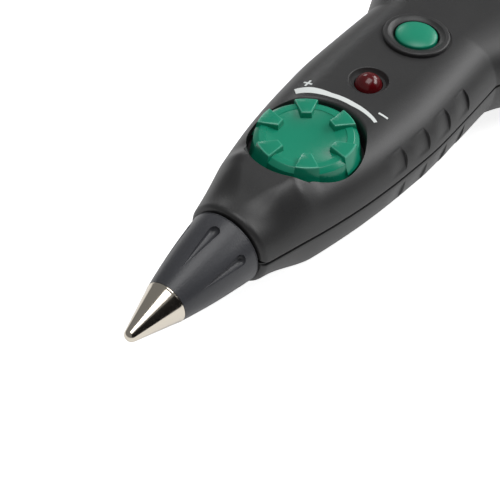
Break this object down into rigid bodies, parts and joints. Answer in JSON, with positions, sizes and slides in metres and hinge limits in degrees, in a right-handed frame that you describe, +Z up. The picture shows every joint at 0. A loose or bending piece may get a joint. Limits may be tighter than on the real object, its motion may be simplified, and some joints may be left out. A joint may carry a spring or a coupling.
{
  "type": "cable tracer receiver probe",
  "caption": "Hand-held tone receiver wand: metal pick-up tip, fluted nose, turning volume knob, lamp, push button, speaker grille, earphone socket and sliding battery door.",
  "frame": {"origin": "middle of the probe's length and width, on the plane that the handle's underside rests on", "axes": "+X runs from the metal tip to the tail, +Z is up out of the face with the knob, +Y is to the left seen from the tail"},
  "size_m": [0.218, 0.046, 0.029],
  "materials": {
    "shell_black": "fine satin moulded texture",
    "shell_lower": "fine satin moulded texture",
    "nose_plastic": "fine satin moulded texture",
    "door_plastic": "fine satin moulded texture",
    "tip_nickel": "polished nickel plate",
    "knob_green": "satin",
    "button_green": "satin gloss",
    "lamp_red": "clear red epoxy",
    "board_green": "solder mask",
    "black_plastic": "moulded",
    "pot_metal": "pressed steel",
    "steel": "plain zinc",
    "brass_tin": "tinned brass",
    "can_blue": "sleeved aluminium",
    "resistor_body": "lacquer",
    "foam": "open foam",
    "cone_film": "film",
    "magnet_steel": "plated",
    "lead_red": "PVC sleeve",
    "lead_black": "PVC sleeve",
    "battery_sleeve": "printed sleeve, bare"
  },
  "bodies": {
    "housing": {"upper_shell": "shell_black", "lower_shell": "shell_lower", "nose_cone": "nose_plastic", "probe_tip": "tip_nickel", "solder_tag": "brass_tin", "tip_nut": "steel", "tip_lead": "lead_red", "main_board": "board_green", "board_screws": "steel", "volume_pot": "pot_metal", "led_lamp": "lamp_red", "led_spacer": "black_plastic", "led_leads": "steel", "switch_body": "black_plastic", "amplifier_chip": "black_plastic", "chip_legs": "steel", "capacitors": "can_blue", "resistors": "resistor_body", "speaker_gasket": "foam", "speaker_frame": "pot_metal", "speaker_cone": "cone_film", "speaker_magnet": "magnet_steel", "speaker_leads": "lead_red", "headphone_jack": "black_plastic", "battery": "battery_sleeve", "battery_terminals": "steel", "battery_snap": "black_plastic", "battery_leads": "lead_black", "battery_pad": "foam", "case_screws": "steel"},
    "knob": {"volume_knob": "knob_green", "pot_shaft": "steel"},
    "button": {"push_button": "button_green", "switch_plunger": "black_plastic"},
    "door": {"battery_door": "door_plastic"}
  },
  "joints": [
    {"name": "knob_turn", "type": "hinge", "parent": "housing", "child": "knob", "pos_m": [-0.057, 0, 0.02], "axis": [0, 0, 1], "range_deg": [-150, 150]},
    {"name": "button_press", "type": "slide", "parent": "housing", "child": "button", "axis": [0, 0, -1], "range_m": [0, 0.0005], "stiffness_N_per_m": 800, "springref_m": -0.0005},
    {"name": "door_slide", "type": "slide", "parent": "housing", "child": "door", "axis": [1, 0, 0], "range_m": [0, 0.062]}
  ]
}
